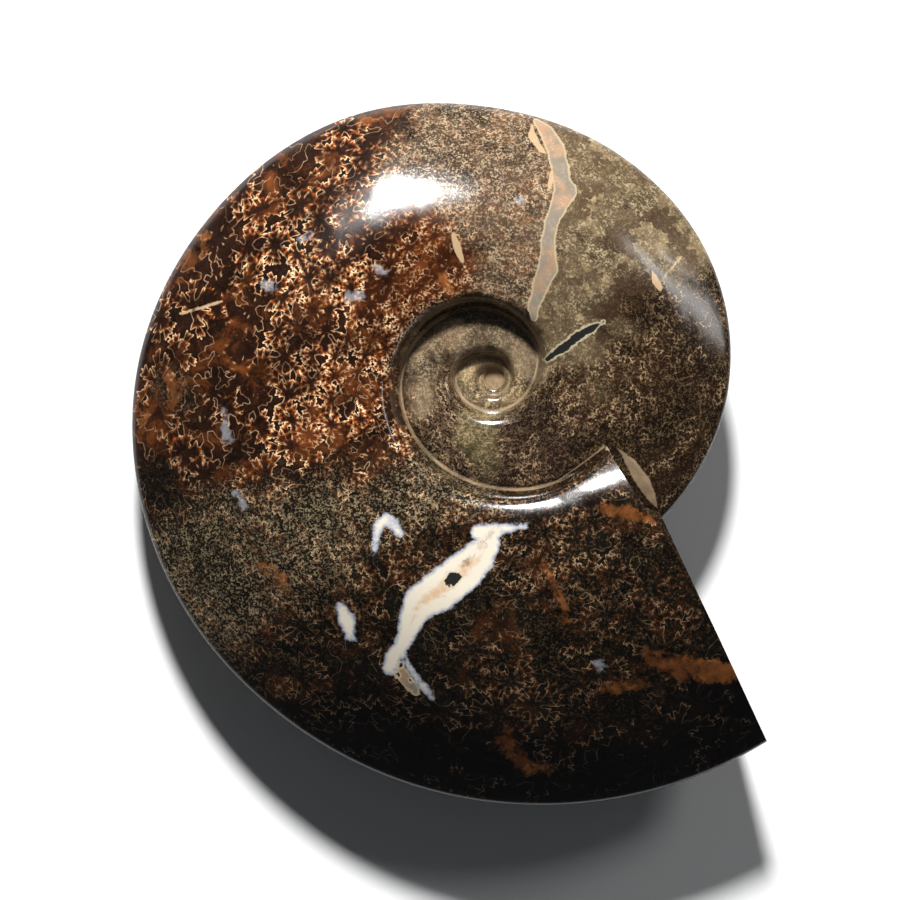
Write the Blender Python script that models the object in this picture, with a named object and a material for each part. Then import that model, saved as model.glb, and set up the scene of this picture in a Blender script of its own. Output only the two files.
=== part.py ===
"""A polished ammonite: one solid piece of mineralised shell, sawn off at the mouth, lying on its flank."""

import math

import bmesh
import bpy
from mathutils import Matrix, Vector

# Distance from the coiling axis, twelve times in each turn along the spiral, in metres.
# The spiral angle is in degrees, anticlockwise from +X, and it grows towards the mouth.
# Inside the tables the coil goes on as a logarithmic spiral, with these growths in a turn.
FULL_TURN = 360.0
TABLE_STEP = 30.0
TABLE_FIRST_ANGLE = -360.0
SEAM_RADII = (
    0.0054, 0.0056, 0.0065, 0.0069, 0.0078, 0.0099, 0.0111, 0.0107, 0.0101, 0.0099, 0.0101, 0.0110,
    0.0127, 0.0156, 0.0175, 0.0200, 0.0223, 0.0246, 0.0269, 0.0284, 0.0301, 0.0328, 0.0366, 0.0395,
    0.0416, 0.0445, 0.0480,
)
SEAM_GROWTH = 1.7
VENTER_RADII = (
    0.0362, 0.0383, 0.0405, 0.0428, 0.0453, 0.0480, 0.0510, 0.0541, 0.0573, 0.0605, 0.0638, 0.0667,
    0.0709, 0.0745, 0.0774, 0.0820, 0.0910, 0.0990, 0.1083, 0.1149, 0.1202, 0.1270, 0.1343, 0.1410,
    0.1490, 0.1565, 0.1640,
)
VENTER_GROWTH = 2.0

# The core of the umbilicus, where the first whorls are one small dome
CORE_ANGLE = -570.0
CORE_REACH = 0.012
CORE_RISE = 0.0008

# Thickness of the whorl, half of it on each side of the median plane
HALF_THICKNESS = 0.0334
THICKENING_PER_TURN = 1.9

# The flank, a flat arch that gets steeper outwards and ends in a narrow keel. Shares are of the
# whorl's height, from the umbilical seam (0) to the venter (1).
CREST_SHARE = 0.33
FLANK_FALL = 1.45
SHOULDER_FALL = 0.07
WALL_SHARE = 0.10
WALL_POWER = 3.0
KEEL_ROUNDING = 0.001

# Towards the mouth the wall at the seam gets narrower, and a bevel takes over its shoulder
BEVEL_START_ANGLE = 215.0
BEVEL_SHARE = 0.125
BEVEL_DEPTH = 0.005
MOUTH_WALL_SHARE = 0.035

# The sawn mouth: a plane that stands upright, facing this way at this distance from the coiling
# axis. Near the umbilical seam it is worn back, over a longer stretch on the flank than at the foot.
MOUTH_DIRECTION = 24.95
MOUTH_DISTANCE = 0.0285
MOUTH_ANGLE = 329.7
LAST_WHORL_ANGLE = MOUTH_ANGLE - FULL_TURN
WEAR_LENGTH_FOOT = 0.007
WEAR_LENGTH_FLANK = 0.0275

# Number of facets round the coil and rows of vertices up the flank
COLUMNS_PER_TURN = 90
INNER_ROWS = (0.0, 0.03, 0.08, 0.15, 0.26, 0.48, 0.75, 1.0)
OUTER_ROWS = (0.22, 0.44, 0.64, 0.81, 0.93, 0.985, 1.0)

# How the piece lies: the median plane leans, and the underside is worn flat where it rests
LEAN_ANGLE = 3.63
LEAN_DIRECTION = 150.8
FLAT_DEPTH = 0.0005

WELD_DISTANCE = 0.00001
SOLVER_STEPS = 12
SHARP_ANGLE = 40.0


def along_spiral(radii, growth, angle):
    """The radius at a spiral angle, on a smooth curve through the table's values."""
    place = (angle - TABLE_FIRST_ANGLE) / TABLE_STEP
    index = math.floor(place)
    t = place - index
    before, start, end, after = (
        radii[i] if i >= 0 else radii[0] * growth ** (i * TABLE_STEP / FULL_TURN)
        for i in range(index - 1, index + 3)
    )
    return 0.5 * (
        2 * start
        + (end - before) * t
        + (2 * before - 5 * start + 4 * end - after) * t ** 2
        + (3 * start - before - 3 * end + after) * t ** 3
    )


def seam_radius(angle):
    return along_spiral(SEAM_RADII, SEAM_GROWTH, angle)


def venter_radius(angle):
    return along_spiral(VENTER_RADII, VENTER_GROWTH, angle)


def covered_share(angle):
    """The share of a whorl's height at which the next whorl's seam crosses it."""
    seam = seam_radius(angle)
    return (seam_radius(angle + FULL_TURN) - seam) / (venter_radius(angle) - seam)


def keel_rounded(height):
    """A height over the median plane that meets it at a right angle, for a rounded keel."""
    return math.sqrt((height + KEEL_ROUNDING) ** 2 - KEEL_ROUNDING ** 2)


def bare_flank(angle, share):
    """Height of the flank over the median plane, without the steep wall at the seam."""
    half = HALF_THICKNESS * THICKENING_PER_TURN ** ((angle - MOUTH_ANGLE) / FULL_TURN)
    if share < CREST_SHARE:
        return half * (1 - SHOULDER_FALL * (1 - share / CREST_SHARE) ** 2)
    across = min((share - CREST_SHARE) / (1 - CREST_SHARE), 1.0)
    fall = across ** 2 * (FLANK_FALL + (1 - FLANK_FALL) * across)
    return half * keel_rounded(half * (1 - fall)) / keel_rounded(half)


def bevelling(angle):
    """How much of the bevel there is: nothing before its start, all of it at the mouth."""
    along = min(max((angle - BEVEL_START_ANGLE) / (MOUTH_ANGLE - BEVEL_START_ANGLE), 0.0), 1.0)
    return along ** 2 * (3 - 2 * along)


def flank_height(angle, share):
    """Height of the flank, which drops at its seam onto the whorl before it."""
    height = bare_flank(angle, share)
    bevel = bevelling(angle)
    depth = bevel * BEVEL_DEPTH
    if share < BEVEL_SHARE:
        height -= depth * (1 - share / BEVEL_SHARE) ** 2
    wall_share = WALL_SHARE + bevel * (MOUTH_WALL_SHARE - WALL_SHARE)
    if share >= wall_share:
        return height
    inner = angle - FULL_TURN
    foot = bare_flank(inner, covered_share(inner))
    drop = bare_flank(angle, 0.0) - depth - foot
    return height - drop * (1 - share / wall_share) ** WALL_POWER


def mouth_turn(radius, along):
    """How far the mouth's line is turned at this radius, against its corner at the seam."""
    corner_radius = seam_radius(MOUTH_ANGLE)
    if radius <= corner_radius:
        return 0.0
    corner_angle = math.radians(FULL_TURN + MOUTH_DIRECTION - MOUTH_ANGLE)
    wear_length = WEAR_LENGTH_FOOT + along * (WEAR_LENGTH_FLANK - WEAR_LENGTH_FOOT)
    wear = MOUTH_DISTANCE - corner_radius * math.cos(corner_angle)
    wear *= math.exp(-((radius - corner_radius) / wear_length) ** (1 + along))
    return math.degrees(corner_angle - math.acos((MOUTH_DISTANCE - wear) / radius))


def surface_point(column_angle, share, along):
    """A point of the upper flank. Each column of points bends, so that the last one, where
    along is 1, follows the mouth's edge and the first one, where it is 0, the mouth's foot."""
    angle = column_angle
    for _ in range(SOLVER_STEPS):
        seam = seam_radius(angle)
        radius = seam + share * (venter_radius(angle) - seam)
        angle = column_angle + mouth_turn(radius, along)
    turned = math.radians(angle)
    return Vector((
        radius * math.cos(turned),
        radius * math.sin(turned),
        flank_height(angle, share),
    ))


def add_strip(mesh, columns):
    """Faces between neighbouring columns of points, and the same strip mirrored below."""
    for side in (1, -1):
        rows = [
            [mesh.verts.new((p.x, p.y, side * p.z)) for p in column]
            for column in columns
        ]
        for left, right in zip(rows, rows[1:]):
            for j in range(len(left) - 1):
                corners = (left[j], left[j + 1], right[j + 1], right[j])
                mesh.faces.new(corners[::-side])


def inner_columns():
    """The whorls seen inside the umbilicus, each up to the seam of the next."""
    turns = (LAST_WHORL_ANGLE - CORE_ANGLE) / FULL_TURN
    count = round(turns * COLUMNS_PER_TURN)
    columns = []
    for i in range(count + 1):
        angle = LAST_WHORL_ANGLE - (count - i) * FULL_TURN / COLUMNS_PER_TURN
        cover = covered_share(angle)
        columns.append([surface_point(angle, cover * row, 0.0) for row in INNER_ROWS])
    return columns


def last_whorl_columns():
    """The whole of the last whorl, from where it comes out of the mouth's foot to the mouth."""
    join = covered_share(LAST_WHORL_ANGLE)
    shares = [join * row for row in INNER_ROWS]
    shares += [join + (1 - join) * row for row in OUTER_ROWS]
    columns = []
    for i in range(COLUMNS_PER_TURN + 1):
        along = i / COLUMNS_PER_TURN
        angle = LAST_WHORL_ANGLE + along * FULL_TURN
        columns.append([surface_point(angle, share, along) for share in shares])
    return columns


def close_core(mesh):
    """A small dome over the first whorls, on each side."""
    for side in (1, -1):
        open_edges = [
            edge for edge in mesh.edges
            if edge.is_boundary
            and side * edge.verts[0].co.z > 0
            and max(v.co.xy.length for v in edge.verts) < CORE_REACH
        ]
        rim = {v for edge in open_edges for v in edge.verts}
        height = sum(v.co.z for v in rim) / len(rim)
        centre = mesh.verts.new((0, 0, height + side * CORE_RISE))
        for edge in open_edges:
            mesh.faces.new((*edge.verts, centre))


def build_shell():
    """The closed shell of the fossil, symmetric about its median plane."""
    mesh = bmesh.new()
    add_strip(mesh, inner_columns())
    add_strip(mesh, last_whorl_columns())
    bmesh.ops.remove_doubles(mesh, verts=mesh.verts, dist=WELD_DISTANCE)
    close_core(mesh)
    mouth = [edge for edge in mesh.edges if edge.is_boundary]
    bmesh.ops.triangle_fill(mesh, use_beauty=True, edges=mouth)
    bmesh.ops.recalc_face_normals(mesh, faces=mesh.faces)
    return mesh


def lay_down(mesh):
    """Turns the piece to the way it rests, wears its underside flat and centres it."""
    across = math.radians(LEAN_DIRECTION + 90)
    axis = Vector((math.cos(across), math.sin(across), 0))
    bmesh.ops.transform(
        mesh, matrix=Matrix.Rotation(math.radians(LEAN_ANGLE), 4, axis), verts=mesh.verts
    )
    low = [min(v.co[k] for v in mesh.verts) for k in range(3)]
    high = [max(v.co[k] for v in mesh.verts) for k in range(3)]
    shift = Vector((
        -(low[0] + high[0]) / 2,
        -(low[1] + high[1]) / 2,
        -low[2] - FLAT_DEPTH,
    ))
    bmesh.ops.translate(mesh, vec=shift, verts=mesh.verts)
    bmesh.ops.bisect_plane(
        mesh,
        geom=mesh.verts[:] + mesh.edges[:] + mesh.faces[:],
        dist=0,
        plane_co=(0, 0, 0),
        plane_no=(0, 0, -1),
        clear_outer=True,
    )
    rims = [edge for edge in mesh.edges if edge.is_boundary]
    bmesh.ops.holes_fill(mesh, edges=rims, sides=0)
    bmesh.ops.triangulate(mesh, faces=mesh.faces)


def polished_stone():
    material = bpy.data.materials.new("polished_ammonite_stone")
    material.use_nodes = True
    shader = material.node_tree.nodes["Principled BSDF"]
    shader.inputs["Base Color"].default_value = (0.115, 0.058, 0.028, 1)
    shader.inputs["Roughness"].default_value = 0.12
    shader.inputs["Metallic"].default_value = 0.0
    return material


def main():
    for obj in list(bpy.data.objects):
        bpy.data.objects.remove(obj)
    shell = build_shell()
    lay_down(shell)
    mesh = bpy.data.meshes.new("ammonite")
    shell.to_mesh(mesh)
    shell.free()
    mesh.materials.append(polished_stone())
    mesh.shade_smooth()
    mesh.set_sharp_from_angle(angle=math.radians(SHARP_ANGLE))
    bpy.context.scene.collection.objects.link(bpy.data.objects.new("ammonite", mesh))


main()
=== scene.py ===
"""A polished ammonite lying on its flank on a white table, seen from straight above."""

import math
import random

import bmesh
import bpy
import numpy as np
from mathutils import Matrix, Vector, kdtree, noise


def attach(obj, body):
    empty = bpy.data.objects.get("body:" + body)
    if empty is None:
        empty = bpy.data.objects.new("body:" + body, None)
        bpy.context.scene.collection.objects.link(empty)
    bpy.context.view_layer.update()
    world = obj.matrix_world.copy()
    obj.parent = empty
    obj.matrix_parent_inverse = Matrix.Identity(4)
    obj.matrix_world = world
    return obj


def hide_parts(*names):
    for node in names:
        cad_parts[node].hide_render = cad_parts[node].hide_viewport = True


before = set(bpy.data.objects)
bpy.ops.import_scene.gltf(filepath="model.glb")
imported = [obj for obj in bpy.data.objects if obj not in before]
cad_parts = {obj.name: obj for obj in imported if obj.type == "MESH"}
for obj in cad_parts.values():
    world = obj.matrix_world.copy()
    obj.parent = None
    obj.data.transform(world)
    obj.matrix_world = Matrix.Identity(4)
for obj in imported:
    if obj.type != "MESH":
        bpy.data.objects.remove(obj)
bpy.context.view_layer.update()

# The fossil: an ammonite's coiled shell, turned to stone, ground on both flanks and polished.
# It is one solid piece, with the last whorl sawn off upright. Its chambers are filled with stone
# and calcite, and the frilled edges of their walls show through the polish.

# Distance from the coiling axis, every 30 degrees along the spiral, in metres, counted
# anticlockwise from +X and growing towards the mouth. Further in, the coil goes on evenly.
FULL_TURN = 360.0
TABLE_STEP = 30.0
TABLE_FIRST_ANGLE = -360.0
SEAM_RADII = (
    0.0054, 0.0056, 0.0065, 0.0069, 0.0078, 0.0099, 0.0111, 0.0107, 0.0101, 0.0099, 0.0101, 0.0110,
    0.0127, 0.0156, 0.0175, 0.0200, 0.0223, 0.0246, 0.0269, 0.0284, 0.0301, 0.0328, 0.0366, 0.0395,
    0.0416, 0.0445, 0.0480,
)
SEAM_GROWTH = 1.7
VENTER_RADII = (
    0.0362, 0.0383, 0.0405, 0.0428, 0.0453, 0.0480, 0.0510, 0.0541, 0.0573, 0.0605, 0.0638, 0.0667,
    0.0709, 0.0745, 0.0774, 0.0820, 0.0910, 0.0990, 0.1083, 0.1149, 0.1202, 0.1270, 0.1343, 0.1410,
    0.1490, 0.1565, 0.1640,
)
VENTER_GROWTH = 2.0
TABLE_STEPS_INSIDE = 36

HALF_THICKNESS = 0.0334
THICKENING_PER_TURN = 1.9
CREST_SHARE = 0.33
FLANK_FALL = 1.45
SHOULDER_FALL = 0.07
WALL_SHARE = 0.10
WALL_POWER = 3.0
BEVEL_START_ANGLE = 215.0
BEVEL_SHARE = 0.125
BEVEL_DEPTH = 0.005
MOUTH_WALL_SHARE = 0.035
BEAD_WIDTH = 0.0013
BEAD_HEIGHT = 0.0005
BEAD_FULL_RADIUS = 0.025
BEAD_LEAST_SHARE = 0.3
KEEL_ROUNDING = 0.001

MOUTH_DIRECTION = 24.95
MOUTH_DISTANCE = 0.0285
MOUTH_ANGLE = 329.7
LAST_WHORL_ANGLE = MOUTH_ANGLE - FULL_TURN
WEAR_LENGTH_FOOT = 0.007
WEAR_LENGTH_FLANK = 0.0275
SOLVER_STEPS = 12

LEAN_ANGLE = 3.63
LEAN_DIRECTION = 150.8
AXIS_PLACE = np.array((0.01369, 0.02213, 0.02829))


def extended(radii, growth):
    """The table, carried on inwards as an even spiral."""
    inner = [radii[0] * growth ** (i * TABLE_STEP / FULL_TURN) for i in range(-TABLE_STEPS_INSIDE, 0)]
    return np.array(inner + list(radii))


SEAM_TABLE = extended(SEAM_RADII, SEAM_GROWTH)
VENTER_TABLE = extended(VENTER_RADII, VENTER_GROWTH)


def along_spiral(table, angle):
    """Radii at spiral angles, on a smooth curve through the table's values."""
    place = (angle - TABLE_FIRST_ANGLE) / TABLE_STEP + TABLE_STEPS_INSIDE
    index = np.clip(np.floor(place).astype(int), 1, len(table) - 3)
    t = place - index
    before, start, end, after = (table[index + k] for k in (-1, 0, 1, 2))
    return 0.5 * (
        2 * start
        + (end - before) * t
        + (2 * before - 5 * start + 4 * end - after) * t ** 2
        + (3 * start - before - 3 * end + after) * t ** 3
    )


def seam_radius(angle):
    return along_spiral(SEAM_TABLE, angle)


def venter_radius(angle):
    return along_spiral(VENTER_TABLE, angle)


def covered_share(angle):
    """The share of a whorl's height at which the next whorl's seam crosses it."""
    seam = seam_radius(angle)
    return (seam_radius(angle + FULL_TURN) - seam) / (venter_radius(angle) - seam)


def keel_rounded(height):
    """A height over the median plane that meets it at a right angle, for a rounded keel."""
    return np.sqrt((height + KEEL_ROUNDING) ** 2 - KEEL_ROUNDING ** 2)


def bare_flank(angle, share):
    """Height of the flank over the median plane, without the steep wall at the seam."""
    half = HALF_THICKNESS * THICKENING_PER_TURN ** ((angle - MOUTH_ANGLE) / FULL_TURN)
    shoulder = half * (1 - SHOULDER_FALL * (1 - share / CREST_SHARE) ** 2)
    across = np.clip((share - CREST_SHARE) / (1 - CREST_SHARE), 0, 1)
    fall = across ** 2 * (FLANK_FALL + (1 - FLANK_FALL) * across)
    outer = half * keel_rounded(half * (1 - fall)) / keel_rounded(half)
    return np.where(share < CREST_SHARE, shoulder, outer)


def bevelling(angle):
    """How much of the bevel there is: nothing before its start, all of it at the mouth."""
    along = np.clip((angle - BEVEL_START_ANGLE) / (MOUTH_ANGLE - BEVEL_START_ANGLE), 0, 1)
    return along ** 2 * (3 - 2 * along)


def flank_height(angle, share):
    """Height of the flank, which drops at its seam onto the whorl before it. The shell's inner
    edge lies along the seam as a low bead."""
    inner = angle - FULL_TURN
    foot = bare_flank(inner, covered_share(inner))
    bevel = bevelling(angle)
    depth = bevel * BEVEL_DEPTH
    wall_share = WALL_SHARE + bevel * (MOUTH_WALL_SHARE - WALL_SHARE)
    drop = bare_flank(angle, np.zeros_like(share)) - depth - foot
    height = bare_flank(angle, share) - depth * np.clip(1 - share / BEVEL_SHARE, 0, 1) ** 2
    height = height - drop * np.clip(1 - share / wall_share, 0, 1) ** WALL_POWER
    from_seam = share * (venter_radius(angle) - seam_radius(angle))
    width = BEAD_WIDTH * np.clip(seam_radius(angle) / BEAD_FULL_RADIUS, BEAD_LEAST_SHARE, 1)
    bead = BEAD_HEIGHT * width / BEAD_WIDTH
    return height + bead * np.sin(math.pi * np.clip(from_seam / width, 0, 1))


def mouth_turn(radius, along):
    """How far the mouth's line is turned at this radius, against its corner at the seam."""
    corner_radius = seam_radius(np.array(MOUTH_ANGLE))
    corner_angle = math.radians(FULL_TURN + MOUTH_DIRECTION - MOUTH_ANGLE)
    wear_length = WEAR_LENGTH_FOOT + along * (WEAR_LENGTH_FLANK - WEAR_LENGTH_FOOT)
    outside = np.maximum(radius, corner_radius)
    wear = MOUTH_DISTANCE - corner_radius * math.cos(corner_angle)
    wear = wear * np.exp(-((outside - corner_radius) / wear_length) ** (1 + along))
    return np.degrees(corner_angle - np.arccos((MOUTH_DISTANCE - wear) / outside))


def flank_points(columns, shares, along):
    """Points of the upper flank, round the coil and up the whorl. Each column of points bends,
    so that the last one follows the mouth's edge and the first one the mouth's foot."""
    angle = columns
    for _ in range(SOLVER_STEPS):
        seam = seam_radius(angle)
        radius = seam + shares * (venter_radius(angle) - seam)
        angle = columns + mouth_turn(radius, along)
    turned = np.radians(angle)
    return np.stack((radius * np.cos(turned), radius * np.sin(turned), flank_height(angle, shares)), -1)


# How finely the surface is cut: facets round one turn, and rows up the flank
COLUMNS_PER_TURN = 500
CORE_ANGLE = -930.0
CORE_REACH = 0.006
WELD_DISTANCE = 0.00001
SHARP_ANGLE = 40.0
INNER_ROWS = 11
COVERED_ROWS = 31
OUTER_ROWS = 41
WALL_CROWDING = 1.7
VENTER_CROWDING = 1.5
WIDE_WAVE = 0.00035
WIDE_WAVE_SIZE = 0.022
SMALL_WAVE = 0.00006
SMALL_WAVE_SIZE = 0.006
FULL_WAVE_RADIUS = 0.03
FULL_WAVE_HEIGHT = 0.01
SAWN_SLOT = 1


def crowded(count, power):
    """Steps from 0 to 1 that start small and grow."""
    return np.linspace(0, 1, count) ** power


def flat_places(points):
    """Places of the points in a flat plan, where the steep outer part of the flank is laid out."""
    radius = np.hypot(points[..., 0], points[..., 1])
    outward = np.diff(radius, axis=1)
    fall = np.diff(points[..., 2], axis=1)
    extra = np.hypot(outward, fall) - outward
    extra[:, : COVERED_ROWS // 2] = 0
    spread = np.zeros_like(radius)
    spread[:, 1:] = np.cumsum(extra, axis=1)
    return points[..., :2] * (1 + spread / radius)[..., None]


def add_sheet(shell, points, places, seam_gaps, angles, side):
    """A grid of faces laid on the points, on the upper flank or mirrored on the lower one.
    Returns its vertices, named by their column and row."""
    columns, rows = points.shape[:2]
    made = bmesh.ops.create_grid(shell, x_segments=columns - 1, y_segments=rows - 1, size=0.5)
    place_layer = shell.verts.layers.float_vector["place"]
    gap_layer = shell.verts.layers.float["seam_gap"]
    angle_layer = shell.faces.layers.float["angle"]
    spots = {}
    for vert in made["verts"]:
        i = round((vert.co.x + 0.5) * (columns - 1))
        j = round((vert.co.y + 0.5) * (rows - 1))
        x, y, z = points[i, j]
        vert.co = (x, y, side * z)
        vert[place_layer] = (places[i, j, 0], places[i, j, 1], 0)
        vert[gap_layer] = seam_gaps[i, j]
        spots[i, j] = vert
        for face in vert.link_faces:
            face[angle_layer] = angles[i, 0]
    return spots


def column_edges(shell, spots, column, rows):
    """The edges up one column of a sheet."""
    return [shell.edges.get((spots[column, j], spots[column, j + 1])) for j in range(rows - 1)]


step = FULL_TURN / COLUMNS_PER_TURN
inner_count = round((LAST_WHORL_ANGLE - CORE_ANGLE) / step)
inner_angles = (LAST_WHORL_ANGLE - np.arange(inner_count, 0, -1) * step)[:, None]
inner_shares = covered_share(inner_angles) * crowded(INNER_ROWS, WALL_CROWDING)[None, :]
inner_points = flank_points(inner_angles, inner_shares, 0.0)

join_share = covered_share(np.array(LAST_WHORL_ANGLE))
last_along = (np.arange(COLUMNS_PER_TURN + 1) / COLUMNS_PER_TURN)[:, None]
last_angles = LAST_WHORL_ANGLE + last_along * FULL_TURN
outer_steps = 1 - crowded(OUTER_ROWS, VENTER_CROWDING)[::-1]
last_shares = np.concatenate((
    join_share * crowded(COVERED_ROWS, WALL_CROWDING),
    join_share + (1 - join_share) * outer_steps[1:],
))[None, :]
last_points = flank_points(last_angles, last_shares, last_along)

# The sharp corner between the seam and the sawn mouth is worn down, most of all at its tip
CORNER_WIDTH = 0.019
CORNER_DEPTH = 0.004
CORNER_REACH = 0.013
last_radius = np.hypot(last_points[..., 0], last_points[..., 1])
from_mouth = np.clip((1 - last_along) * math.tau * last_radius / CORNER_WIDTH, 0, 1)
from_corner = (last_radius - seam_radius(np.array(MOUTH_ANGLE))) / CORNER_REACH
last_points[..., 2] -= CORNER_DEPTH * (1 - from_mouth) ** 2 * np.exp(-np.maximum(from_corner, 0) ** 2)
last_places = flat_places(last_points)

# How far each point is from the nearest seam, its own whorl's or the next one's
inner_height = venter_radius(inner_angles) - seam_radius(inner_angles)
from_seam = inner_shares * inner_height
before_next = (inner_shares[:, -1:] - inner_shares) * inner_height
inner_gaps = np.minimum(from_seam, before_next)
last_gaps = last_shares * (venter_radius(last_angles) - seam_radius(last_angles))

shell = bmesh.new()
shell.verts.layers.float_vector.new("place")
shell.verts.layers.float.new("seam_gap")
shell.faces.layers.float.new("angle")
for side in (1, -1):
    inner = add_sheet(shell, inner_points, inner_points[..., :2], inner_gaps, inner_angles, side)
    last = add_sheet(shell, last_points, last_places, last_gaps, last_angles, side)
    inner_end = column_edges(shell, inner, inner_count - 1, INNER_ROWS)
    last_start = column_edges(shell, last, 0, COVERED_ROWS)
    joined = bmesh.ops.bridge_loops(shell, edges=inner_end + last_start)
    for face in joined["faces"]:
        face[shell.faces.layers.float["angle"]] = LAST_WHORL_ANGLE
bmesh.ops.remove_doubles(shell, verts=shell.verts, dist=WELD_DISTANCE)

# The core of the umbilicus, closed over the first whorls
for side in (1, -1):
    core_rim = [
        edge for edge in shell.edges
        if edge.is_boundary
        and side * edge.verts[0].co.z > 0
        and max(v.co.xy.length for v in edge.verts) < CORE_REACH
    ]
    bmesh.ops.triangle_fill(shell, use_beauty=True, edges=core_rim)

# The sawn mouth is closed by the cut face, which has a finish of its own
mouth_rim = [edge for edge in shell.edges if edge.is_boundary]
filled = bmesh.ops.triangle_fill(shell, use_beauty=True, edges=mouth_rim)
mouth_faces = [element for element in filled["geom"] if isinstance(element, bmesh.types.BMFace)]
for face in mouth_faces:
    face.material_index = SAWN_SLOT
bmesh.ops.recalc_face_normals(shell, faces=shell.faces)

# Hand polishing leaves the flanks very slightly uneven
for vert in shell.verts:
    if any(face.material_index == SAWN_SLOT for face in vert.link_faces):
        continue
    lift = WIDE_WAVE * noise.noise(vert.co / WIDE_WAVE_SIZE)
    lift += SMALL_WAVE * noise.noise(vert.co / SMALL_WAVE_SIZE)
    inner_share = min(vert.co.xy.length / FULL_WAVE_RADIUS, 1)
    vert.co.z += math.copysign(lift * inner_share * min(abs(vert.co.z) / FULL_WAVE_HEIGHT, 1), vert.co.z)

# The piece leans a little, as it rests, and is worn flat where it touches the table
across = math.radians(LEAN_DIRECTION + 90)
lean = Matrix.Rotation(math.radians(LEAN_ANGLE), 4, (math.cos(across), math.sin(across), 0))
laid_down = Matrix.Translation(AXIS_PLACE) @ lean
bmesh.ops.transform(shell, matrix=laid_down, verts=shell.verts)
bmesh.ops.bisect_plane(
    shell,
    geom=shell.verts[:] + shell.edges[:] + shell.faces[:],
    dist=0,
    plane_co=(0, 0, 0),
    plane_no=(0, 0, -1),
    clear_outer=True,
)
bmesh.ops.holes_fill(shell, edges=[edge for edge in shell.edges if edge.is_boundary], sides=0)
bmesh.ops.triangulate(shell, faces=shell.faces)

mesh = bpy.data.meshes.new("ammonite_shell")
shell.to_mesh(mesh)
shell.free()
mesh.shade_smooth()
mesh.set_sharp_from_angle(angle=math.radians(SHARP_ANGLE))
ammonite = bpy.data.objects.new("ammonite_shell", mesh)
bpy.context.scene.collection.objects.link(ammonite)

# The plan of the markings: looking straight down, in steps of 0.3 mm from its upper left corner
PLAN_STEP = 0.0003
PLAN_MIDDLE = 450.0
VIEW_PLACE = np.array((0.00067, 0.00083))
VIEW_HEIGHT = 1.2
PLAN_HEIGHT = 0.031


def read_points(name, width):
    """An attribute of the shell's points as an array."""
    values = np.zeros(len(mesh.vertices) * width, np.float32)
    mesh.attributes[name].data.foreach_get("vector", values)
    return values.reshape(-1, width).astype(float)


def plan_places():
    """Each point's place in the plan. A point of the lower flank has the place of the point
    over it, because cracks and chamber walls run through the whole stone."""
    points = read_points("position", 3)
    turn = np.array(lean.to_3x3())
    upright = (points - AXIS_PLACE) @ turn
    upright[:, 2] = np.abs(upright[:, 2])
    points = upright @ turn.T + AXIS_PLACE
    spread = (VIEW_HEIGHT - PLAN_HEIGHT) / (VIEW_HEIGHT - points[:, 2]) / PLAN_STEP
    return np.stack((
        PLAN_MIDDLE + (points[:, 0] - VIEW_PLACE[0]) * spread,
        PLAN_MIDDLE - (points[:, 1] - VIEW_PLACE[1]) * spread,
    ), -1)


plan = plan_places()
underneath = np.where(read_points("position", 3)[:, 2:] < AXIS_PLACE[2], 1.0, 0.0)


def store(name, values, domain="POINT"):
    """Keeps values with the mesh, up to four numbers for each point or corner."""
    full = np.zeros((len(values), 4), np.float32)
    full[:, : values.shape[1]] = values
    layer = mesh.attributes.new(name, "FLOAT_COLOR", domain)
    layer.data.foreach_set("color", full.ravel())


def wandering(size, seed):
    """Smooth random numbers from -1 to 1 over the plan, for uneven edges."""
    places = np.concatenate((plan / size, underneath + seed), axis=1)
    return np.array([noise.noise(Vector(p)) for p in places])


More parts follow.
